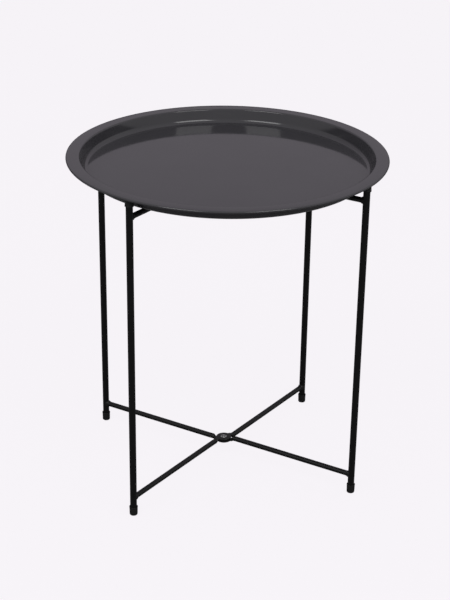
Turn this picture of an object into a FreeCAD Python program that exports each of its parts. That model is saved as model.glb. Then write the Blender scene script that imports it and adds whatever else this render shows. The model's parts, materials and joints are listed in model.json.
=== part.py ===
import FreeCAD, Part
import math
import os

# Folding tray table, millimetres, +Z up, origin on the floor under the table's centre.
# A loose round pressed tray rests on a folding stand. The stand is two identical welded frames.
# Frame A stands as built. Frame B is the same frame turned over about its long axis.
# The two frames are riveted together at the crossings of their lower and upper crossbars.

V = FreeCAD.Vector

# Overall sizes
TRAY_DIAMETER = 470.0
TABLE_HEIGHT = 504.0          # floor to the top of the tray's rim

# Tray pressing
SHEET = 0.8                   # sheet thickness
WELL_DEPTH = 20.8             # rim top to the tray's floor, top faces
WALL_RUN = 4.0                # how far the well's wall leans in over its depth
FLOOR_BEND_RADIUS = 8.0       # inside the well, wall to floor
MOUTH_BEND_RADIUS = 2.5       # on the top face, flange to wall
HEM_HEIGHT = 3.8              # over the folded edge
HEM_WIDTH = 4.0               # how far the folded edge returns inwards

# Legs and their caps
LEG_DIAMETER = 10.0
LEG_WALL = 1.0
CAP_BODY_WALL = 1.2           # sleeve wall at its mouth
CAP_LIP = 0.2                 # the lip stands this far out from the sleeve
CAP_LIP_HEIGHT = 1.6
CAP_TAPER = 0.3               # how much the sleeve's radius shrinks towards its closed end
CAP_LENGTH = 14.0
CAP_END = 3.0                 # thickness of the closed end
CAP_END_ROUND = 1.6

# Crossbars
ROD_DIAMETER = 8.0
ROD_STAGGER = 1.9             # height between the two bars' axes at a crossing
SIDE_OFFSET = 5.5             # sideways distance from the pivot to each half bar's line
JOG_LENGTH = 16.0             # along the bar, from the pivot to the start of the round rod
FLAT_LENGTH = 12.0            # along the bar, from the pivot to the end of the flat
FLAT_WIDTH = 8.0
EYE_DIAMETER = 22.5
EYE_THICKNESS = 2.6

# Pivots
RIVET_DIAMETER = 5.0
RIVET_HEAD_DIAMETER = 10.0
RIVET_HEAD_HEIGHT = 2.4
RIVET_TAIL_DIAMETER = 8.6
RIVET_TAIL_HEIGHT = 1.7
WASHER_DIAMETER = 12.0
WASHER_THICKNESS = 0.5

# Weld beads round the bars' ends
WELD_LEG_RISE = 1.4           # bead radius over the rod, at the leg
WELD_TOE_RISE = 0.15          # bead radius over the rod, at its toe
WELD_LENGTH = 2.8             # along the rod, from the leg's surface

# How wide the stand is opened: angle between the two front legs, seen from above
FRONT_ANGLE = 97.2

# Clearances
TRAY_SEAT_GAP = 0.3           # cap to flange
CAP_HEM_CLEARANCE = 1.6       # cap lip to the folded edge
CAP_WELL_CLEARANCE = 2.0      # cap lip to the corner of the well's mouth
BAR_WELL_CLEARANCE = 4.1      # upper crossbar to the underside of the well
CAP_SIDE_GAP = 0.4            # between neighbouring caps when the stand is folded flat
PIVOT_RADIAL_CLEARANCE = 0.05
PIVOT_END_CLEARANCE = 0.1

# Worked out from the sizes above
tray_radius = TRAY_DIAMETER / 2
leg_radius = LEG_DIAMETER / 2
rod_radius = ROD_DIAMETER / 2
cap_radius = leg_radius + CAP_BODY_WALL
cap_lip_radius = cap_radius + CAP_LIP
leg_circle = tray_radius - HEM_WIDTH - CAP_HEM_CLEARANCE - cap_lip_radius
mouth_corner = leg_circle - cap_lip_radius - CAP_WELL_CLEARANCE
floor_corner = mouth_corner - WALL_RUN
frame_height = TABLE_HEIGHT - SHEET - TRAY_SEAT_GAP
well_below_frame_top = WELL_DEPTH - TRAY_SEAT_GAP
near_inset = well_below_frame_top + BAR_WELL_CLEARANCE + rod_radius
far_inset = near_inset + ROD_STAGGER
eye_gap = WASHER_THICKNESS + PIVOT_END_CLEARANCE
eye_rise = (ROD_STAGGER + eye_gap + EYE_THICKNESS) / 2
pivot_inset = near_inset + ROD_STAGGER / 2
rivet_bore = RIVET_DIAMETER / 2 + PIVOT_RADIAL_CLEARANCE
angle_a = -90.0 - FRONT_ANGLE / 2
angle_b = -90.0 + FRONT_ANGLE / 2
closed_spread = 2 * math.asin((2 * cap_lip_radius + CAP_SIDE_GAP) / (2 * leg_circle))
fold_closed = FRONT_ANGLE - math.degrees(closed_spread)


def corner_arc(before, corner, after, radius):
    """Tangent arc that rounds one corner, given as its start, middle and end points."""
    to_before = (before - corner).normalize()
    to_after = (after - corner).normalize()
    half_angle = to_before.getAngle(to_after) / 2
    reach = radius / math.tan(half_angle)
    bisector = (to_before + to_after).normalize()
    centre = corner + bisector * (radius / math.sin(half_angle))
    middle = centre - bisector * radius
    return corner + to_before * reach, middle, corner + to_after * reach


def rounded_edges(corners, radii):
    """Edges of an open path through the corners, with each inner corner rounded."""
    edges = []
    here = corners[0]
    for index in range(1, len(corners) - 1):
        before, corner, after = corners[index - 1:index + 2]
        start, middle, end = corner_arc(before, corner, after, radii[index - 1])
        if here.distanceToPoint(start) > 1e-6:
            edges.append(Part.makeLine(here, start))
        edges.append(Part.Arc(start, middle, end).toShape())
        here = end
    edges.append(Part.makeLine(here, corners[-1]))
    return edges


def revolve(edges):
    """Solid of revolution about Z from edges that close in the XZ plane."""
    face = Part.Face(Part.Wire(edges))
    return face.revolve(V(0, 0, 0), V(0, 0, 1), 360)


def offset_corners(corners, distance):
    """The same path moved sideways, to the right of its direction, in the XZ plane."""
    normals = []
    for start, end in zip(corners, corners[1:]):
        along = (end - start).normalize()
        normals.append(V(along.z, 0, -along.x))
    moved = [corners[0] + normals[0] * distance]
    for corner, n1, n2 in zip(corners[1:-1], normals, normals[1:]):
        moved.append(corner + (n1 + n2) * (distance / (1 + n1.dot(n2))))
    moved.append(corners[-1] + normals[-1] * distance)
    return moved


def make_tray():
    """One pressing: floor, sloped wall, level flange and an edge folded under."""
    rim = TABLE_HEIGHT
    floor = rim - WELL_DEPTH
    hem_bottom = rim - HEM_HEIGHT
    hem_radius = HEM_HEIGHT / 2
    top_face = [V(0, 0, floor), V(floor_corner, 0, floor), V(mouth_corner, 0, rim),
                V(tray_radius, 0, rim), V(tray_radius, 0, hem_bottom),
                V(tray_radius - HEM_WIDTH, 0, hem_bottom)]
    under_face = offset_corners(top_face, SHEET)
    top_radii = [FLOOR_BEND_RADIUS, MOUTH_BEND_RADIUS, hem_radius, hem_radius]
    turn_signs = [1, -1, -1, -1]
    under_radii = [r + sign * SHEET for r, sign in zip(top_radii, turn_signs)]
    outline = rounded_edges(top_face, top_radii)
    outline.append(Part.makeLine(top_face[-1], under_face[-1]))
    outline += rounded_edges(under_face, under_radii)
    outline.append(Part.makeLine(top_face[0], under_face[0]))
    return revolve(Part.__sortEdges__(outline))


def make_leg():
    """Straight tube, its ends inside the caps."""
    bottom = CAP_END
    length = frame_height - 2 * CAP_END
    tube = Part.makeCylinder(leg_radius, length, V(0, 0, bottom))
    bore = Part.makeCylinder(leg_radius - LEG_WALL, length, V(0, 0, bottom))
    return tube.cut(bore)


def make_cap():
    """Moulded sleeve with a lip at its mouth; it closes at z = 0 and fits over a leg's end."""
    end_radius = cap_radius - CAP_TAPER
    lip_bottom = CAP_LENGTH - CAP_LIP_HEIGHT
    outer = [V(0, 0, 0), V(end_radius, 0, 0), V(cap_radius, 0, lip_bottom)]
    edges = rounded_edges(outer, [CAP_END_ROUND])
    lip_middle = V(cap_lip_radius, 0, lip_bottom + CAP_LIP_HEIGHT / 2)
    lip_top = V(cap_radius, 0, CAP_LENGTH)
    edges.append(Part.Arc(outer[-1], lip_middle, lip_top).toShape())
    bore = [lip_top, V(leg_radius, 0, CAP_LENGTH), V(leg_radius, 0, CAP_END), V(0, 0, CAP_END), outer[0]]
    for start, end in zip(bore, bore[1:]):
        edges.append(Part.makeLine(start, end))
    return revolve(edges)


def section(centre, along, half_width, half_height):
    """Four corners of an upright section across a bar, anticlockwise seen along the bar."""
    side = V(-along.y, along.x, 0).normalize()
    up = V(0, 0, 1)
    corners = []
    for across, rise in ((-1, -1), (1, -1), (1, 1), (-1, 1)):
        corners.append(centre + side * (across * half_width) + up * (rise * half_height))
    return corners


def flat_section(centre, along):
    """Wire of the flattened bar's oblong section."""
    corners = section(centre, along, FLAT_WIDTH / 2, EYE_THICKNESS / 2)
    return Part.makePolygon(corners + corners[:1])


def round_section(centre, along):
    """Wire of the round rod's section, as four arcs that match the flat's four sides."""
    reach = rod_radius * math.sqrt(0.5)
    corners = section(centre, along, reach, reach)
    edges = []
    for start, end in zip(corners, corners[1:] + corners[:1]):
        outwards = ((start + end) / 2 - centre).normalize()
        edges.append(Part.Arc(start, centre + outwards * rod_radius, end).toShape())
    return Part.Wire(edges)


def make_half_bar():
    """Half a crossbar along +X: flat, jog and round rod, coped to the leg's tube."""
    eye = V(0, 0, eye_rise)
    leg_axis = V(leg_circle, 0, 0)
    line_start = V(0, -SIDE_OFFSET, 0)
    along_rod = (leg_axis - line_start).normalize()
    rod_start = line_start + along_rod * (JOG_LENGTH / along_rod.x)
    along_flat = V(rod_start.x, rod_start.y, 0).normalize()
    flat_end = eye + along_flat * (FLAT_LENGTH / along_flat.x)
    flat = Part.Face(flat_section(eye, along_flat)).extrude(flat_end - eye)
    jog = Part.makeLoft([flat_section(flat_end, along_flat), round_section(rod_start, along_rod)], True, True)
    rod_length = rod_start.distanceToPoint(leg_axis)
    rod = Part.makeCylinder(rod_radius, rod_length, rod_start, along_rod)
    tube = Part.makeCylinder(leg_radius, 4 * ROD_DIAMETER, leg_axis - V(0, 0, 2 * ROD_DIAMETER))
    return flat.fuse([jog, rod]).cut(tube)


def make_crossbar():
    """Whole crossbar with its rod axis at z = 0 and its eye raised above it."""
    half = make_half_bar()
    other = half.copy()
    other.rotate(V(0, 0, 0), V(0, 0, 1), 180)
    eye_bottom = V(0, 0, eye_rise - EYE_THICKNESS / 2)
    eye = Part.makeCylinder(EYE_DIAMETER / 2, EYE_THICKNESS, eye_bottom)
    hole = Part.makeCylinder(rivet_bore, EYE_THICKNESS, eye_bottom)
    return eye.fuse([half, other]).cut(hole).removeSplitter()


def make_weld():
    """Fillet bead round the end of a rod, in the place of the bar's +X end."""
    leg_axis = V(leg_circle, 0, 0)
    along = (V(0, -SIDE_OFFSET, 0) - leg_axis).normalize()
    root = leg_radius * 0.3
    toe = leg_radius + WELD_LENGTH
    start = leg_axis + along * root
    bead = Part.makeCone(rod_radius + WELD_LEG_RISE, rod_radius + WELD_TOE_RISE, toe - root, start, along)
    rod = Part.makeCylinder(rod_radius, toe, leg_axis, along)
    tube = Part.makeCylinder(leg_radius, 4 * ROD_DIAMETER, leg_axis - V(0, 0, 2 * ROD_DIAMETER))
    return bead.cut([rod, tube])


def make_rivet():
    """Domed head on frame A's eye, shank through both eyes, upset tail; z = 0 between the eyes."""
    shank = RIVET_DIAMETER / 2
    head_bottom = eye_gap / 2 + EYE_THICKNESS
    tail_top = -head_bottom - PIVOT_END_CLEARANCE
    head_top = head_bottom + RIVET_HEAD_HEIGHT
    tail_bottom = tail_top - RIVET_TAIL_HEIGHT
    head_radius = RIVET_HEAD_DIAMETER / 2
    tail_radius = RIVET_TAIL_DIAMETER / 2
    sphere = (head_radius ** 2 + RIVET_HEAD_HEIGHT ** 2) / (2 * RIVET_HEAD_HEIGHT)
    dome_turn = math.asin(head_radius / sphere) / 2
    dome_middle = V(sphere * math.sin(dome_turn), 0, head_top - sphere * (1 - math.cos(dome_turn)))
    edges = [Part.Arc(V(0, 0, head_top), dome_middle, V(head_radius, 0, head_bottom)).toShape()]
    lower = [V(head_radius, 0, head_bottom), V(shank, 0, head_bottom), V(shank, 0, tail_top),
             V(tail_radius, 0, tail_top), V(tail_radius, 0, tail_bottom), V(0, 0, tail_bottom)]
    edges.append(Part.makeLine(lower[0], lower[1]))
    edges.append(Part.makeLine(lower[1], lower[2]))
    edges.append(Part.makeLine(lower[2], lower[3]))
    edges += rounded_edges(lower[3:], [RIVET_TAIL_HEIGHT * 0.6])
    edges.append(Part.makeLine(V(0, 0, tail_bottom), V(0, 0, head_top)))
    return revolve(edges)


def make_washer():
    """Spacer between the eyes; it lies against frame A's eye."""
    bottom = V(0, 0, eye_gap / 2 - WASHER_THICKNESS)
    disc = Part.makeCylinder(WASHER_DIAMETER / 2, WASHER_THICKNESS, bottom)
    return disc.cut(Part.makeCylinder(rivet_bore, WASHER_THICKNESS, bottom))


def moved(shape, x, z):
    """A copy moved along X and up."""
    copy = shape.copy()
    copy.translate(V(x, 0, z))
    return copy


def turned(shape, angle):
    """A copy turned about the table's axis."""
    copy = shape.copy()
    copy.rotate(V(0, 0, 0), V(0, 0, 1), angle)
    return copy


def upside_down(shape):
    """A copy turned over about the frame's long axis at half its height."""
    copy = shape.copy()
    copy.rotate(V(0, 0, frame_height / 2), V(1, 0, 0), 180)
    return copy


def make_frame():
    """The welded frame's pieces, standing along X. 'near' is its +X leg, 'far' its -X leg."""
    leg = make_leg()
    cap = make_cap()
    bar = make_crossbar()
    weld = make_weld()
    low = near_inset
    high = frame_height - far_inset
    pieces = {}
    for side, x in (("near", leg_circle), ("far", -leg_circle)):
        pieces["leg", side] = moved(leg, x, 0)
        pieces["cap", side, "low"] = moved(cap, x, 0)
        pieces["cap", side, "high"] = upside_down(moved(cap, x, 0))
    pieces["bar", "low"] = moved(bar, 0, low)
    pieces["bar", "high"] = moved(bar, 0, high)
    for level, z in (("low", low), ("high", high)):
        pieces["weld", "near", level] = moved(weld, 0, z)
        pieces["weld", "far", level] = turned(moved(weld, 0, z), 180)
    return pieces


def frame_nodes(letter, near_name, far_name, angle, turn_over):
    """Names one frame's pieces by where they stand in the table."""
    sides = {"near": near_name, "far": far_name}
    heights = {"low": "lower", "high": "upper"}
    cap_names = {"low": "foot_cap", "high": "top_cap"}
    if turn_over:
        heights = {"low": "upper", "high": "lower"}
        cap_names = {"low": "top_cap", "high": "foot_cap"}
    nodes = {}
    for key, shape in make_frame().items():
        if turn_over:
            shape = upside_down(shape)
        placed = turned(shape, angle)
        if key[0] == "leg":
            nodes["leg_" + sides[key[1]]] = placed
        elif key[0] == "cap":
            nodes[cap_names[key[2]] + "_" + sides[key[1]]] = placed
        elif key[0] == "weld":
            nodes[heights[key[2]] + "_weld_" + sides[key[1]]] = placed
        else:
            nodes["frame_" + letter + "_" + heights[key[1]] + "_crossbar"] = placed
    return nodes


nodes = {"tray": make_tray()}
nodes.update(frame_nodes("a", "front_left", "back_right", angle_a, False))
nodes.update(frame_nodes("b", "front_right", "back_left", angle_b, True))
for place, height in (("lower", pivot_inset), ("upper", frame_height - pivot_inset)):
    nodes[place + "_pivot_rivet"] = moved(make_rivet(), 0, height)
    nodes[place + "_pivot_washer"] = moved(make_washer(), 0, height)

os.makedirs("parts", exist_ok=True)
for name, shape in nodes.items():
    shape.exportStep("parts/" + name + ".step")
    print(name, "valid" if shape.isValid() else "INVALID", len(shape.Solids), round(shape.Volume, 2))
print("fold closes by", round(fold_closed, 2), "degrees from rest")
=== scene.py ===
"""Folding tray table: a loose pressed tray on two identical welded frames.

The frames are riveted together where their crossbars cross. Lengths written here are millimetres
unless they say otherwise. Meshes, lights and the camera are placed in metres, in the frame's axes.
"""

import json
import math

import bmesh
import bpy
from mathutils import Matrix, Vector, noise


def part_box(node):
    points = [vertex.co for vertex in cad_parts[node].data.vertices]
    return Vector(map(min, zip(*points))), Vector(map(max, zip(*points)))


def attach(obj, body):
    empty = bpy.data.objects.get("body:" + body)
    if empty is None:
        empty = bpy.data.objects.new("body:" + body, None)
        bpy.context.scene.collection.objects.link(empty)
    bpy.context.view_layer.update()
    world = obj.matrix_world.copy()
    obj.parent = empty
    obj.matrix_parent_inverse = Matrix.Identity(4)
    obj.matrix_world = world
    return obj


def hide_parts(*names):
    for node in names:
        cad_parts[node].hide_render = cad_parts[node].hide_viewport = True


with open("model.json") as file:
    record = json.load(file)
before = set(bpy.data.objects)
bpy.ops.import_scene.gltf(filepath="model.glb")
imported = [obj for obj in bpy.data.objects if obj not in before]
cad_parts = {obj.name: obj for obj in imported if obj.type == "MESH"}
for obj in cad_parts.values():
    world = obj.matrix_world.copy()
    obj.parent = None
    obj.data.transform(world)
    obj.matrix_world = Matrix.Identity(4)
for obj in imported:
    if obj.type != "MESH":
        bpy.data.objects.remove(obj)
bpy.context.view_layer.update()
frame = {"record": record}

MM = 0.001

# ---------------------------------------------------------------- sizes of the object, millimetres

# Tray pressing
SHEET = 0.8
WELL_DEPTH = 20.8
WALL_RUN = 4.0
FLOOR_BEND_RADIUS = 8.0
MOUTH_BEND_RADIUS = 2.5
HEM_HEIGHT = 3.8
HEM_WIDTH = 4.0
CAP_WELL_CLEARANCE = 2.0

# Legs and caps
LEG_DIAMETER = 10.0
LEG_WALL = 1.0
CAP_BODY_WALL = 1.2
CAP_LIP = 0.2
CAP_LIP_HEIGHT = 1.6
CAP_TAPER = 0.3
CAP_LENGTH = 14.0
CAP_END = 3.0
CAP_END_ROUND = 1.6

# Crossbars
ROD_DIAMETER = 8.0
SIDE_OFFSET = 5.5
JOG_LENGTH = 16.0
FLAT_LENGTH = 12.0
FLAT_WIDTH = 8.0
EYE_DIAMETER = 22.5
EYE_THICKNESS = 2.6
EYE_RISE = 2.55
EYE_GAP = 0.6
EYE_BLEND = 3.0

# Pivots; a radial clearance goes all round the shank
RIVET_DIAMETER = 5.0
RIVET_HEAD_DIAMETER = 10.0
RIVET_HEAD_HEIGHT = 2.4
RIVET_TAIL_DIAMETER = 8.6
RIVET_TAIL_HEIGHT = 1.7
WASHER_DIAMETER = 12.0
WASHER_THICKNESS = 0.5
PIVOT_RADIAL_CLEARANCE = 0.05
PIVOT_END_CLEARANCE = 0.1

# Weld beads
WELD_LEG_RISE = 1.4
WELD_TOE_RISE = 0.15
WELD_LENGTH = 2.8

# Which way each frame's two legs stand: the leg at the weldment's +X end, then the other
FRAME_LEGS = {"a": ("front_left", "back_right"), "b": ("front_right", "back_left")}
TURNED_OVER = {"a": False, "b": True}

# ---------------------------------------------------------------- what the frame gives


def box_mm(node):
    """Lowest and highest corner of a CAD node, in millimetres."""
    low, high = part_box(node)
    return low / MM, high / MM


def middle_mm(node):
    """Middle of a CAD node's box, in millimetres."""
    low, high = box_mm(node)
    return (low + high) / 2


tray_low, tray_high = box_mm("tray")
TRAY_RADIUS = (tray_high.x - tray_low.x) / 2
RIM = tray_high.z
FRAME_HEIGHT = box_mm("top_cap_front_left")[1].z
LEG_CIRCLE = middle_mm("leg_front_left").xy.length
ROD_RADIUS = ROD_DIAMETER / 2
LEG_RADIUS = LEG_DIAMETER / 2
BODIES = frame["record"]["behaviour"]["bodies"]
BODY_OF = {node: body for body, members in BODIES.items() for node in members}


def stand_for(piece, node):
    """Shows a piece in the place of a CAD node, on the node's own body."""
    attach(piece, BODY_OF[node])
    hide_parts(node)
    return piece


# ---------------------------------------------------------------- mesh helpers

# Segments round a turned shape, and crease angles in degrees
SMALL_SEGMENTS = 64
WASHER_SEGMENTS = 96
TRAY_SEGMENTS = 384
SOFT_CREASE = 40
SHARP_CREASE = 50
BEAD_CREASE = 55


def soft_step(low, high, value):
    """0 below low, 1 above high, smooth between."""
    share = min(max((value - low) / (high - low), 0.0), 1.0)
    return share * share * (3 - 2 * share)


def soft_max(one, other, width):
    """The larger value, rounded where the two cross."""
    return (one + other + math.hypot(one - other, width)) / 2


def soft_min(one, other, width):
    """The smaller value, rounded where the two cross."""
    return (one + other - math.hypot(one - other, width)) / 2


def finished(name, mesh, crease):
    """Object with outward normals, smooth shading and sharp edges above the crease angle in degrees."""
    work = bmesh.new()
    work.from_mesh(mesh)
    bmesh.ops.recalc_face_normals(work, faces=work.faces)
    work.to_mesh(mesh)
    work.free()
    mesh.shade_smooth()
    mesh.set_sharp_from_angle(angle=math.radians(crease))
    piece = bpy.data.objects.new(name, mesh)
    bpy.context.scene.collection.objects.link(piece)
    return piece


def skin(name, rings, closed=False, crease=SOFT_CREASE):
    """Surface through rings of points: one point alone is a pole, closed joins last to first."""
    points = []
    numbers = []
    for ring in rings:
        numbers.append(range(len(points), len(points) + len(ring)))
        points.extend([Vector(point) * MM for point in ring])
    pairs = list(zip(numbers, numbers[1:]))
    if closed:
        pairs.append((numbers[-1], numbers[0]))
    faces = []
    for lower, upper in pairs:
        for step in range(max(len(lower), len(upper))):
            corners = [lower[step % len(lower)], lower[(step + 1) % len(lower)],
                       upper[(step + 1) % len(upper)], upper[step % len(upper)]]
            faces.append(list(dict.fromkeys(corners)))
    mesh = bpy.data.meshes.new(name)
    mesh.from_pydata(points, [], faces)
    return finished(name, mesh, crease)


def lathe(name, outline, segments, closed=False, crease=SOFT_CREASE):
    """Surface of revolution about Z of an outline of (radius, height) points."""
    rings = []
    for radius, height in outline:
        if radius < 1e-6:
            rings.append([(0, 0, height)])
            continue
        ring = []
        for step in range(segments):
            turn = 2 * math.pi * step / segments
            ring.append((radius * math.cos(turn), radius * math.sin(turn), height))
        rings.append(ring)
    return skin(name, rings, closed, crease)


def rounded(corners, radii, steps=6):
    """Path through the corners with an arc at each inner corner; a radius of 0 keeps it sharp."""
    path = [Vector(corners[0])]
    for before, corner, after, radius in zip(corners, corners[1:], corners[2:], radii):
        corner = Vector(corner)
        if radius == 0:
            path.append(corner)
            continue
        back = (Vector(before) - corner).normalized()
        ahead = (Vector(after) - corner).normalized()
        half = back.angle(ahead) / 2
        centre = corner + (back + ahead).normalized() * (radius / math.sin(half))
        start = corner + back * (radius / math.tan(half)) - centre
        end = corner + ahead * (radius / math.tan(half)) - centre
        sweep = math.pi - 2 * half
        for step in range(steps + 1):
            turned = sweep * step / steps
            blend = start * math.sin(sweep - turned) + end * math.sin(turned)
            path.append(centre + blend / math.sin(sweep))
    path.append(Vector(corners[-1]))
    return path


def divided(start, end, parts):
    """Points that divide a straight run, without its ends."""
    start = Vector(start)
    end = Vector(end)
    return [start.lerp(end, step / parts) for step in range(1, parts)]


def offset_corners(corners, distance):
    """The same path moved sideways, to the right of its direction."""
    normals = []
    for start, end in zip(corners, corners[1:]):
        along = (Vector(end) - Vector(start)).normalized()
        normals.append(Vector((along.y, -along.x)))
    moved = [Vector(corners[0]) + normals[0] * distance]
    for corner, one, other in zip(corners[1:-1], normals, normals[1:]):
        moved.append(Vector(corner) + (one + other) * (distance / (1 + one.dot(other))))
    moved.append(Vector(corners[-1]) + normals[-1] * distance)
    return moved


# ---------------------------------------------------------------- materials


class Paint:
    """A node material that is built around one Principled shader."""

    IOR = 1.5

    def __init__(self, name, roughness, specular, metallic=0.0):
        self.material = bpy.data.materials.new(name)
        self.material.use_nodes = True
        self.tree = self.material.node_tree
        self.tree.nodes.clear()
        self.shader = self.tree.nodes.new("ShaderNodeBsdfPrincipled")
        output = self.tree.nodes.new("ShaderNodeOutputMaterial")
        self.tree.links.new(self.shader.outputs["BSDF"], output.inputs["Surface"])
        self.shader.inputs["Roughness"].default_value = roughness
        self.shader.inputs["Specular IOR Level"].default_value = specular
        self.shader.inputs["Metallic"].default_value = metallic
        self.shader.inputs["IOR"].default_value = self.IOR
        self.place = self.tree.nodes.new("ShaderNodeTexCoord").outputs["Object"]
        self.height = None

    def noise(self, size, detail=3.0, roughness=0.5):
        """Noise whose features are about this many millimetres across."""
        node = self.tree.nodes.new("ShaderNodeTexNoise")
        node.inputs["Scale"].default_value = 1 / (size * MM)
        node.inputs["Detail"].default_value = detail
        node.inputs["Roughness"].default_value = roughness
        self.tree.links.new(self.place, node.inputs["Vector"])
        return node.outputs["Fac"]

    def cells(self, size):
        """Distance from the nearest of scattered points that are about this many millimetres apart."""
        node = self.tree.nodes.new("ShaderNodeTexVoronoi")
        node.inputs["Scale"].default_value = 1 / (size * MM)
        self.tree.links.new(self.place, node.inputs["Vector"])
        return node.outputs["Distance"]

    def ramp(self, value, stops):
        """Colour ramp over a value; stops are (position, linear RGB or grey)."""
        node = self.tree.nodes.new("ShaderNodeValToRGB")
        ends = node.color_ramp.elements
        while len(ends) < len(stops):
            ends.new(0.5)
        for element, (position, colour) in zip(ends, stops):
            element.position = position
            shade = colour if isinstance(colour, tuple) else (colour, colour, colour)
            element.color = (*shade, 1)
        self.tree.links.new(value, node.inputs["Fac"])
        return node.outputs["Color"]

    def mix(self, share, one, other):
        """Colour mixed from two others by a share."""
        node = self.tree.nodes.new("ShaderNodeMix")
        node.data_type = "RGBA"
        self.tree.links.new(share, node.inputs["Factor"])
        self.tree.links.new(one, node.inputs["A"])
        self.tree.links.new(other, node.inputs["B"])
        return node.outputs["Result"]

    def colour(self, value):
        """Base colour from a node's output."""
        self.tree.links.new(value, self.shader.inputs["Base Color"])

    def gloss(self, value):
        """Roughness from a node's output."""
        self.tree.links.new(value, self.shader.inputs["Roughness"])

    def bump(self, value, depth):
        """Adds relief of this depth in millimetres on top of any earlier relief."""
        node = self.tree.nodes.new("ShaderNodeBump")
        node.inputs["Distance"].default_value = depth * MM
        node.inputs["Strength"].default_value = 1.0
        self.tree.links.new(value, node.inputs["Height"])
        if self.height is not None:
            self.tree.links.new(self.height, node.inputs["Normal"])
        self.height = node.outputs["Normal"]
        self.tree.links.new(self.height, self.shader.inputs["Normal"])

    def on(self, *pieces):
        """Paints these pieces with the material."""
        for piece in pieces:
            piece.data.materials.clear()
            piece.data.materials.append(self.material)


def tray_paint():
    """Anthracite stoved enamel: semi-gloss, faint orange peel, slight cloudiness."""
    paint = Paint("anthracite_enamel", roughness=0.08, specular=0.5)
    cloud = paint.noise(70, detail=2.0)
    paint.colour(paint.ramp(cloud, [(0.3, (0.0335, 0.0325, 0.0365)), (0.7, (0.0365, 0.0355, 0.0395))]))
    paint.gloss(paint.ramp(paint.noise(28, detail=4.0), [(0.3, 0.07), (0.7, 0.1)]))
    paint.bump(paint.noise(2.2, detail=2.0), 0.002)
    return paint


def frame_paint():
    """Black powder coat: satin, fine pebbled skin."""
    paint = Paint("black_powder_coat", roughness=0.34, specular=0.3)
    paint.colour(paint.ramp(paint.noise(9), [(0.3, 0.0022), (0.7, 0.0034)]))
    paint.gloss(paint.ramp(paint.noise(4, detail=4.0), [(0.3, 0.31), (0.7, 0.4)]))
    paint.bump(paint.noise(0.9, detail=2.0), 0.018)
    paint.bump(paint.cells(0.5), 0.006)
    return paint


def weld_paint():
    """The same coat over a weld bead, a little thinner, with spatter under it."""
    paint = Paint("black_powder_coat_on_weld", roughness=0.42, specular=0.3)
    paint.colour(paint.ramp(paint.noise(1.6), [(0.3, 0.004), (0.75, 0.0075)]))
    paint.gloss(paint.ramp(paint.noise(1.1, detail=4.0), [(0.3, 0.34), (0.7, 0.5)]))
    paint.bump(paint.noise(0.7, detail=3.0), 0.05)
    paint.bump(paint.cells(0.9), 0.03)
    return paint


def cap_plastic():
    """Moulded black polyethylene: matte, with a spark-eroded grain and scuffs."""
    paint = Paint("black_polyethylene", roughness=0.55, specular=0.3)
    scuff = paint.ramp(paint.noise(2.6, detail=6.0, roughness=0.7), [(0.58, 0.0), (0.72, 1.0)])
    body = paint.ramp(paint.noise(3), [(0.3, 0.0085), (0.7, 0.011)])
    worn = paint.ramp(paint.noise(0.5), [(0.3, 0.011), (0.7, 0.019)])
    paint.colour(paint.mix(scuff, body, worn))
    paint.gloss(paint.ramp(paint.noise(1.4, detail=4.0), [(0.3, 0.5), (0.7, 0.62)]))
    paint.bump(paint.noise(0.25, detail=2.0), 0.012)
    return paint


def rivet_steel():
    """Zinc-black steel, worn bright in patches by the setting tool."""
    paint = Paint("worn_rivet_steel", roughness=0.3, specular=0.5, metallic=0.85)
    wear = paint.ramp(paint.noise(1.5, detail=5.0, roughness=0.6), [(0.42, 0.0), (0.6, 1.0)])
    dark = paint.ramp(paint.noise(0.8), [(0.3, 0.012), (0.7, 0.03)])
    bright = paint.ramp(paint.noise(0.4), [(0.3, 0.6), (0.7, 0.8)])
    paint.colour(paint.mix(wear, dark, bright))
    paint.gloss(paint.ramp(paint.noise(1.0, detail=4.0), [(0.3, 0.22), (0.7, 0.42)]))
    paint.bump(paint.noise(1.2, detail=3.0), 0.05)
    return paint


def washer_nylon():
    """Black nylon spacer."""
    paint = Paint("black_nylon", roughness=0.4, specular=0.4)
    paint.colour(paint.ramp(paint.noise(2), [(0.3, 0.012), (0.7, 0.018)]))
    paint.gloss(paint.ramp(paint.noise(0.8), [(0.3, 0.35), (0.7, 0.48)]))
    paint.bump(paint.noise(0.4), 0.01)
    return paint


# ---------------------------------------------------------------- the tray


def tray_pressing():
    """Floor, leaning wall, level flange and folded edge, in one sheet."""
    cap_radius = LEG_RADIUS + CAP_BODY_WALL + CAP_LIP
    mouth = LEG_CIRCLE - cap_radius - CAP_WELL_CLEARANCE
    foot = mouth - WALL_RUN
    floor = RIM - WELL_DEPTH
    hem_bottom = RIM - HEM_HEIGHT
    top = [(0, floor), (foot, floor), (mouth, RIM), (TRAY_RADIUS, RIM),
           (TRAY_RADIUS, hem_bottom), (TRAY_RADIUS - HEM_WIDTH, hem_bottom)]
    under = offset_corners(top, SHEET)
    hem = HEM_HEIGHT / 2
    top_radii = [FLOOR_BEND_RADIUS, MOUTH_BEND_RADIUS, hem, hem]
    under_radii = [FLOOR_BEND_RADIUS + SHEET, MOUTH_BEND_RADIUS - SHEET, hem - SHEET, hem - SHEET]
    bend_steps = 10
    floor_rings = 7
    outline = rounded(top, top_radii, bend_steps) + rounded(under, under_radii, bend_steps)[::-1]
    outline[1:1] = divided(outline[0], outline[1], floor_rings)
    outline[-1:-1] = divided(outline[-2], outline[-1], floor_rings)
    return lathe("tray_pressing", outline, TRAY_SEGMENTS, crease=SHARP_CREASE)


stand_for(tray_pressing(), "tray")

# ---------------------------------------------------------------- the two frames


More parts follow.
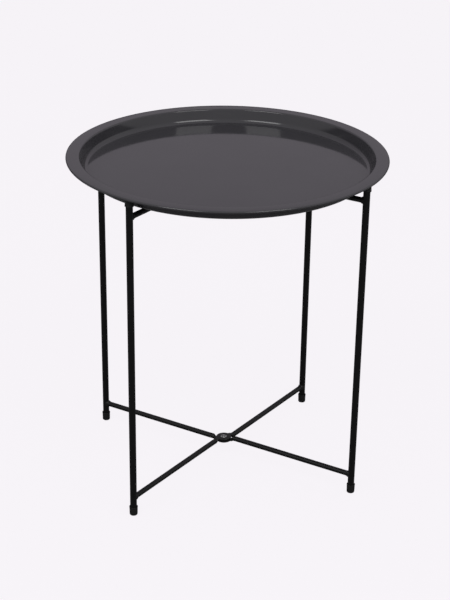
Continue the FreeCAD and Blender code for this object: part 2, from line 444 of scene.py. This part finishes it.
def leg_tube(name):
    """Tube with eased ends, standing at the origin."""
    low = CAP_END
    high = FRAME_HEIGHT - CAP_END
    inner = LEG_RADIUS - LEG_WALL
    ease = 0.2
    lengths = 24
    outline = [(inner + ease, low), (LEG_RADIUS - ease, low), (LEG_RADIUS, low + ease)]
    outline += divided(outline[-1], (LEG_RADIUS, high - ease), lengths)
    outline += [(LEG_RADIUS, high - ease), (LEG_RADIUS - ease, high), (inner + ease, high)]
    outline += [(inner, high - ease), (inner, low + ease)]
    return lathe(name, outline, SMALL_SEGMENTS, closed=True)


def sleeve(name):
    """Moulded cap, closed end down at z = 0: a slight lip, and a gate mark in a shallow dish."""
    body = LEG_RADIUS + CAP_BODY_WALL
    end = body - CAP_TAPER
    lip_bottom = CAP_LENGTH - CAP_LIP_HEIGHT
    lip_middle = lip_bottom + CAP_LIP_HEIGHT / 2
    gate = 0.7
    gate_height = 0.12
    gate_slope = 0.1
    dish = 3.0
    dish_depth = 0.45
    dish_slope = 0.35
    mouth_ease = 0.25
    under = [(0, gate_height), (gate, gate_height), (gate + gate_slope, dish_depth),
             (dish, dish_depth), (dish + dish_slope, 0), (end, 0)]
    under_radii = [0.1, 0.08, 0.25, 0.2, CAP_END_ROUND]
    outline = rounded(under + [(body, lip_bottom)], under_radii, 5)
    lip_steps = 12
    for step in range(1, lip_steps):
        turn = math.pi * (step / lip_steps - 0.5)
        height = lip_middle + CAP_LIP_HEIGHT / 2 * math.sin(turn)
        outline.append((body + CAP_LIP * math.cos(turn), height))
    outline += [(body, CAP_LENGTH), (LEG_RADIUS + mouth_ease, CAP_LENGTH)]
    outline += [(LEG_RADIUS, CAP_LENGTH - mouth_ease), (LEG_RADIUS, CAP_END), (0, CAP_END)]
    return lathe(name, outline, SMALL_SEGMENTS, crease=SHARP_CREASE)


def bar_centre(x):
    """Centre line of a crossbar: straight rods offset to each side, and a raised flat between them."""
    ends = SIDE_OFFSET * (1 - JOG_LENGTH / LEG_CIRCLE)
    rod = SIDE_OFFSET * (1 - abs(x) / LEG_CIRCLE)
    flat = ends * abs(x) / JOG_LENGTH
    bend = 0.8
    sideways = soft_min(rod, flat, bend) - soft_min(SIDE_OFFSET, 0, bend)
    rise = EYE_RISE * (1 - soft_step(FLAT_LENGTH, JOG_LENGTH, abs(x)))
    return Vector((x, -math.copysign(sideways, x), rise))


def bar_section(x):
    """Points round the crossbar at x: round rod, pressed flat or eye."""
    centre = bar_centre(x)
    step = 0.05
    early = 0.5
    flat_corner = 0.7
    along = bar_centre(x + step) - bar_centre(x - step)
    side = Vector((-along.y, along.x, 0)).normalized()
    roundness = soft_step(FLAT_LENGTH - early, JOG_LENGTH, abs(x))
    eye = math.sqrt(max((EYE_DIAMETER / 2) ** 2 - centre.xy.length_squared, 0))
    half_width = ROD_RADIUS * roundness + FLAT_WIDTH / 2 * (1 - roundness)
    half_width = soft_max(half_width, eye, min(EYE_BLEND, eye))
    half_height = ROD_RADIUS * roundness + EYE_THICKNESS / 2 * (1 - roundness)
    corner = min(ROD_RADIUS * roundness + flat_corner * (1 - roundness), half_height)
    points = []
    per_corner = 9
    for index in range(4 * per_corner):
        turn = (index + 0.5) * math.pi / 2 / per_corner
        across = math.copysign(half_width - corner, math.cos(turn)) + corner * math.cos(turn)
        up = math.copysign(half_height - corner, math.sin(turn)) + corner * math.sin(turn)
        points.append(centre + side * across + Vector((0, 0, up)))
    return points


def coped_end(sign):
    """Rings that close a bar's end against the leg's round tube, from its rim to its middle."""
    leg = Vector((sign * LEG_CIRCLE, 0, 0))
    inwards = (Vector((0, -sign * SIDE_OFFSET, 0)) - leg).normalized()
    side = Vector((inwards.y, -inwards.x, 0)) * sign
    section = bar_section(sign * (LEG_CIRCLE - LEG_DIAMETER))
    middle = bar_centre(sign * (LEG_CIRCLE - LEG_DIAMETER))
    rings = []
    for share in (1.0, 0.75, 0.5, 0.25, 0.0):
        ring = []
        for point in section if share else section[:1]:
            across = (point - middle).dot(side) * share
            up = (point - middle).z * share
            reach = math.sqrt(LEG_RADIUS ** 2 - across ** 2)
            ring.append(leg + inwards * reach + side * across + Vector((0, 0, up)))
        rings.append(ring)
    return rings


def crossbar(name):
    """Whole crossbar with its rods' axis at z = 0, its eye raised, and the rivet's hole through it."""
    spacing = 0.4
    reach = 17.2
    coping_room = 7.5
    count = round(2 * reach / spacing)
    stations = [reach - 2 * reach * step / count for step in range(count + 1)]
    rods = [LEG_CIRCLE - coping_room, 190, 160, 130, 100, 70, 45, 28, 20]
    stations = rods + stations + [-x for x in reversed(rods)]
    rings = coped_end(1)[::-1]
    rings += [bar_section(x) for x in stations]
    rings += coped_end(-1)
    bar = skin(name, rings)
    hole = RIVET_DIAMETER / 2 + PIVOT_RADIAL_CLEARANCE
    low = -EYE_THICKNESS
    high = 3 * EYE_THICKNESS
    drill = lathe("drill", [(0, low), (hole, low), (hole, high), (0, high)], SMALL_SEGMENTS)
    cut = bar.modifiers.new("rivet_hole", "BOOLEAN")
    cut.object = drill
    cut.operation = "DIFFERENCE"
    cut.solver = "EXACT"
    evaluated = bar.evaluated_get(bpy.context.evaluated_depsgraph_get())
    mesh = bpy.data.meshes.new_from_object(evaluated)
    bpy.data.objects.remove(bar)
    bpy.data.objects.remove(drill)
    return finished(name, mesh, SOFT_CREASE)


def weld_bead(name, seed):
    """Hand-laid fillet round the rod at the bar's +X end, with crescent ripples.

    The bead's rise is limited at its sides, so that it stays on the leg's round wall.
    """
    leg = Vector((LEG_CIRCLE, 0, 0))
    inwards = (Vector((0, -SIDE_OFFSET, 0)) - leg).normalized()
    side = Vector((-inwards.y, inwards.x, 0))
    rings = []
    around = 168
    crown = 9
    ripples = 19
    lean = 0.22
    edge_gap = 0.1
    limit_blend = 0.3
    smallest = 0.1
    wander = 1.3
    apart = 7.1
    length_mean, length_sway = 0.93, 0.2
    rise_mean, rise_sway = 0.95, 0.22
    belly_out, ripple_out, belly_along = 0.22, 0.16, 0.1
    for index in range(around):
        turn = 2 * math.pi * index / around
        outwards = math.cos(turn)
        up = math.sin(turn)
        sway = noise.noise(Vector((wander * outwards, wander * up, apart * seed)))
        length = WELD_LENGTH * (length_mean + length_sway * sway)
        room = (LEG_RADIUS - edge_gap) / max(abs(outwards), smallest) - ROD_RADIUS
        rise = soft_min(WELD_LEG_RISE * (rise_mean + rise_sway * sway), room, limit_blend)
        foot = math.sqrt(LEG_RADIUS ** 2 - (outwards * (ROD_RADIUS + rise)) ** 2)
        root = math.sqrt(LEG_RADIUS ** 2 - (outwards * ROD_RADIUS) ** 2)
        toe = LEG_RADIUS + length
        section = []
        for step in range(crown + 1):
            share = step / crown
            belly = math.sin(math.pi * share)
            ripple = abs(math.sin(0.5 * ripples * (turn + lean * belly) + seed))
            radius = ROD_RADIUS + rise * (1 - share) + WELD_TOE_RISE * share
            radius += belly * (belly_out + ripple_out * ripple)
            reach = foot + (toe - foot) * share + belly * belly_along
            section.append((radius, reach))
        section.append((ROD_RADIUS, toe))
        section.append((ROD_RADIUS, root))
        middle_radius = ROD_RADIUS + rise / 2
        middle_reach = math.sqrt(LEG_RADIUS ** 2 - (outwards * middle_radius) ** 2)
        section.append((middle_radius, middle_reach))
        ring = []
        for radius, reach in section:
            around_rod = side * (outwards * radius) + Vector((0, 0, up * radius))
            ring.append(leg + inwards * reach + around_rod)
        rings.append(ring)
    return skin(name, rings, closed=True, crease=BEAD_CREASE)


def pivot_rivet(name):
    """Domed head, shank and upset tail with a dimple; z = 0 is between the eyes."""
    shank = RIVET_DIAMETER / 2
    head_bottom = EYE_GAP / 2 + EYE_THICKNESS
    tail_top = -head_bottom - PIVOT_END_CLEARANCE
    head = RIVET_HEAD_DIAMETER / 2
    tail = RIVET_TAIL_DIAMETER / 2
    tail_bottom = tail_top - RIVET_TAIL_HEIGHT
    ball = (head ** 2 + RIVET_HEAD_HEIGHT ** 2) / (2 * RIVET_HEAD_HEIGHT)
    outline = [(0, head_bottom + RIVET_HEAD_HEIGHT)]
    steps = 20
    head_edge = 0.25
    dimple = 1.6
    dimple_floor = 1.1
    dimple_top = tail_bottom + 0.5
    for step in range(1, steps + 1):
        turn = math.asin(head / ball) * step / steps
        height = head_bottom + RIVET_HEAD_HEIGHT - ball * (1 - math.cos(turn))
        outline.append((ball * math.sin(turn), max(height, head_bottom + head_edge)))
    lower = [(head, head_bottom), (shank, head_bottom), (shank, tail_top), (tail, tail_top),
             (tail, tail_bottom), (dimple, tail_bottom), (dimple_floor, dimple_top), (0, dimple_top)]
    lower_radii = [0.15, 0.1, 0.3, RIVET_TAIL_HEIGHT * 0.55, 0.2, 0.3]
    outline += rounded(lower, lower_radii)
    return lathe(name, outline, SMALL_SEGMENTS, crease=SHARP_CREASE)


def pivot_washer(name):
    """Flat spacer with eased edges; it lies against frame A's eye."""
    outer = WASHER_DIAMETER / 2
    hole = RIVET_DIAMETER / 2 + PIVOT_RADIAL_CLEARANCE
    top = EYE_GAP / 2
    bottom = top - WASHER_THICKNESS
    ease = 0.12
    outline = [(hole, top), (outer - ease, top), (outer, top - ease), (outer, bottom + ease),
               (outer - ease, bottom), (hole, bottom)]
    return lathe(name, outline, WASHER_SEGMENTS, closed=True)


def frame_place(letter):
    """Carries a weldment that stands along X to its place in the table."""
    near = middle_mm("leg_" + FRAME_LEGS[letter][0])
    place = Matrix.Rotation(math.atan2(near.y, near.x), 4, "Z")
    if TURNED_OVER[letter]:
        place @= Matrix.Translation((0, 0, FRAME_HEIGHT * MM)) @ Matrix.Rotation(math.pi, 4, "X")
    return place


def shifted(x, z):
    """Matrix that moves by x and z millimetres."""
    return Matrix.Translation((x * MM, 0, z * MM))


def rod_height(letter, level):
    """Height of a crossbar's rods in its own weldment, millimetres."""
    low, high = box_mm("frame_" + letter + "_" + level + "_crossbar")
    if TURNED_OVER[letter]:
        return FRAME_HEIGHT - (high.z - ROD_RADIUS)
    return low.z + ROD_RADIUS


HALF_TURN = Matrix.Rotation(math.pi, 4, "Z")
END_OVER = Matrix.Translation((0, 0, FRAME_HEIGHT * MM)) @ Matrix.Rotation(math.pi, 4, "X")
tubes = []
sleeves = []
bars = []
beads = []
for letter, legs in FRAME_LEGS.items():
    place = frame_place(letter)
    for leg, x in zip(legs, (LEG_CIRCLE, -LEG_CIRCLE)):
        tube = leg_tube("tube_" + leg)
        tube.data.transform(place @ shifted(x, 0))
        tubes.append(stand_for(tube, "leg_" + leg))
        for end in ("foot", "top"):
            cap = sleeve(end + "_sleeve_" + leg)
            upright = (end == "foot") != TURNED_OVER[letter]
            cap.data.transform(place @ (Matrix() if upright else END_OVER) @ shifted(x, 0))
            sleeves.append(stand_for(cap, end + "_cap_" + leg))
    for level in ("lower", "upper"):
        node = "frame_" + letter + "_" + level + "_crossbar"
        height = rod_height(letter, level)
        bar = crossbar("bar_" + letter + "_" + level)
        bar.data.transform(place @ shifted(0, height))
        bars.append(stand_for(bar, node))
        for leg, turn in zip(legs, (Matrix(), HALF_TURN)):
            bead = weld_bead("bead_" + level + "_" + leg, len(beads) + 1)
            bead.data.transform(place @ shifted(0, height) @ turn)
            beads.append(stand_for(bead, level + "_weld_" + leg))

rivets = []
washers = []
for level in ("lower", "upper"):
    head_top = box_mm(level + "_pivot_rivet")[1].z
    middle = head_top - EYE_GAP / 2 - EYE_THICKNESS - RIVET_HEAD_HEIGHT
    rivet = pivot_rivet("rivet_" + level)
    rivet.data.transform(shifted(0, middle))
    rivets.append(stand_for(rivet, level + "_pivot_rivet"))
    washer = pivot_washer("spacer_" + level)
    washer.data.transform(shifted(0, middle))
    washers.append(stand_for(washer, level + "_pivot_washer"))

tray_paint().on(bpy.data.objects["tray_pressing"])
frame_paint().on(*tubes, *bars)
weld_paint().on(*beads)
cap_plastic().on(*sleeves)
rivet_steel().on(*rivets)
washer_nylon().on(*washers)

# ---------------------------------------------------------------- floor, light and camera

# The pale tone that camera rays see
PALE = (0.922, 0.896, 0.930)
FLOOR_GLOW = 0.965
FLOOR_SHADE = (0.052, 0.0505, 0.0525)

# The room that lights the object: floor, front and back of the air
FLOOR_GREY = (0.2, 0.2, 0.2)
FLOOR_RADIUS = 14.0
AIR_FRONT = (0.62, 0.61, 0.63)
AIR_BACK = (0.385, 0.355, 0.395)
AIR_BACK_FROM = 0.8

# The dim band low behind the object: where it starts and is full, in a direction's Y and Z
BAND_BEHIND = (0.4, 0.8)
BAND_LOW = (0.29, 0.17)
BAND_DEPTH = 0.85

# Softboxes: angles in degrees, the rest in metres; each turns with the camera's azimuth
LIGHT_TARGET = Vector((0, 0, 0.48))
SOFTBOX_ELEVATION = 44
SOFTBOX_DISTANCE = 3.0
SOFTBOX_HEIGHT = 1.3
SOFTBOX_RADIANCE = 4.0

# Camera: angles in degrees, reach and height in metres, lens and sensor in millimetres
CAMERA_AZIMUTH = -12.33
CAMERA_REACH = 2.082
CAMERA_HEIGHT = 1.2208
CAMERA_PITCH = 24.557
CAMERA_ROLL = 0.807
CAMERA_AIM = -12.306
CAMERA_LENS = 90.38
SENSOR_WIDTH = 36

scene = bpy.context.scene
scene.view_settings.view_transform = "Standard"


def pale_floor():
    """Big round floor: pale to the eye, a dim grey to the object, and open from below."""
    mesh = bpy.data.meshes.new("studio_floor")
    sides = 64
    turns = [2 * math.pi * step / sides for step in range(sides)]
    rim = [(FLOOR_RADIUS * math.cos(turn), FLOOR_RADIUS * math.sin(turn), 0) for turn in turns]
    mesh.from_pydata(rim, [], [list(range(sides))])
    floor = bpy.data.objects.new("studio_floor", mesh)
    scene.collection.objects.link(floor)
    material = bpy.data.materials.new("studio_floor")
    material.use_nodes = True
    nodes = material.node_tree.nodes
    links = material.node_tree.links
    nodes.clear()
    glow = nodes.new("ShaderNodeEmission")
    glow.inputs["Color"].default_value = (*PALE, 1)
    glow.inputs["Strength"].default_value = FLOOR_GLOW
    lit = nodes.new("ShaderNodeBsdfDiffuse")
    lit.inputs["Color"].default_value = (*FLOOR_SHADE, 1)
    seen = nodes.new("ShaderNodeAddShader")
    grey = nodes.new("ShaderNodeBsdfDiffuse")
    grey.inputs["Color"].default_value = (*FLOOR_GREY, 1)
    path = nodes.new("ShaderNodeLightPath")
    choice = nodes.new("ShaderNodeMixShader")
    clear = nodes.new("ShaderNodeBsdfTransparent")
    side = nodes.new("ShaderNodeNewGeometry")
    cut = nodes.new("ShaderNodeMixShader")
    output = nodes.new("ShaderNodeOutputMaterial")
    links.new(glow.outputs[0], seen.inputs[0])
    links.new(lit.outputs[0], seen.inputs[1])
    links.new(path.outputs["Is Camera Ray"], choice.inputs[0])
    links.new(grey.outputs[0], choice.inputs[1])
    links.new(seen.outputs[0], choice.inputs[2])
    links.new(side.outputs["Backfacing"], cut.inputs[0])
    links.new(choice.outputs[0], cut.inputs[1])
    links.new(clear.outputs[0], cut.inputs[2])
    links.new(cut.outputs[0], output.inputs["Surface"])
    floor.data.materials.append(material)


def studio_air():
    """World: a dim grey room, darker at the back and darkest in a low band there.

    Camera rays see the pale tone instead.
    """
    world = bpy.data.worlds.new("studio_air")
    world.use_nodes = True
    nodes = world.node_tree.nodes
    links = world.node_tree.links
    nodes.clear()
    pale = nodes.new("ShaderNodeBackground")
    pale.inputs["Color"].default_value = (*PALE, 1)
    dim = nodes.new("ShaderNodeBackground")
    place = nodes.new("ShaderNodeTexCoord")
    split = nodes.new("ShaderNodeSeparateXYZ")
    ramp = nodes.new("ShaderNodeValToRGB")
    front, back = ramp.color_ramp.elements
    front.position = 0.0
    front.color = (*AIR_FRONT, 1)
    back.position = AIR_BACK_FROM
    back.color = (*AIR_BACK, 1)
    links.new(place.outputs["Generated"], split.inputs[0])
    links.new(split.outputs["Y"], ramp.inputs[0])
    links.new(ramp.outputs["Color"], dim.inputs["Color"])
    behind = nodes.new("ShaderNodeMapRange")
    behind.inputs["From Min"].default_value = BAND_BEHIND[0]
    behind.inputs["From Max"].default_value = BAND_BEHIND[1]
    low = nodes.new("ShaderNodeMapRange")
    low.inputs["From Min"].default_value = BAND_LOW[0]
    low.inputs["From Max"].default_value = BAND_LOW[1]
    low.inputs["To Max"].default_value = -BAND_DEPTH
    shade = nodes.new("ShaderNodeMath")
    shade.operation = "MULTIPLY_ADD"
    shade.inputs[2].default_value = 1.0
    links.new(split.outputs["Y"], behind.inputs["Value"])
    links.new(split.outputs["Z"], low.inputs["Value"])
    links.new(behind.outputs[0], shade.inputs[0])
    links.new(low.outputs[0], shade.inputs[1])
    links.new(shade.outputs[0], dim.inputs["Strength"])
    path = nodes.new("ShaderNodeLightPath")
    choice = nodes.new("ShaderNodeMixShader")
    output = nodes.new("ShaderNodeOutputWorld")
    links.new(path.outputs["Is Camera Ray"], choice.inputs[0])
    links.new(dim.outputs[0], choice.inputs[1])
    links.new(pale.outputs[0], choice.inputs[2])
    links.new(choice.outputs[0], output.inputs["Surface"])
    scene.world = world


def softbox(name, azimuth, width):
    """Rectangular light that faces the tray; azimuth 0 is at -Y and 90 at +X, in degrees."""
    turn = math.radians(azimuth)
    lift = math.radians(SOFTBOX_ELEVATION)
    level = math.cos(lift)
    away = Vector((math.sin(turn) * level, -math.cos(turn) * level, math.sin(lift)))
    data = bpy.data.lights.new(name, "AREA")
    data.shape = "RECTANGLE"
    data.size = width
    data.size_y = SOFTBOX_HEIGHT
    data.energy = SOFTBOX_RADIANCE * math.pi * width * SOFTBOX_HEIGHT
    light = bpy.data.objects.new(name, data)
    light.location = LIGHT_TARGET + away * SOFTBOX_DISTANCE
    light.rotation_mode = "QUATERNION"
    light.rotation_quaternion = (-away).to_track_quat("-Z", "Y")
    light.visible_camera = False
    scene.collection.objects.link(light)


def photo_camera():
    """The camera, well above the tray and looking down at it."""
    data = bpy.data.cameras.new("camera")
    data.sensor_width = SENSOR_WIDTH
    data.lens = CAMERA_LENS
    data.clip_start = 0.05
    data.clip_end = 100
    camera = bpy.data.objects.new("camera", data)
    turn = math.radians(CAMERA_AZIMUTH)
    aim = math.radians(CAMERA_AIM)
    place = Vector((math.sin(turn), -math.cos(turn), 0)) * CAMERA_REACH
    place += Vector((0, 0, CAMERA_HEIGHT))
    tilt = Matrix.Rotation(math.radians(90 - CAMERA_PITCH), 4, "X")
    roll = Matrix.Rotation(math.radians(CAMERA_ROLL), 4, "Z")
    look = Matrix.Rotation(aim, 4, "Z") @ tilt
    camera.matrix_world = Matrix.Translation(place) @ look @ roll
    scene.collection.objects.link(camera)
    scene.camera = camera


pale_floor()
studio_air()
softbox("softbox_left", azimuth=CAMERA_AZIMUTH - 35.5, width=1.25)
softbox("softbox_right", azimuth=CAMERA_AZIMUTH + 34.5, width=1.3)
photo_camera()
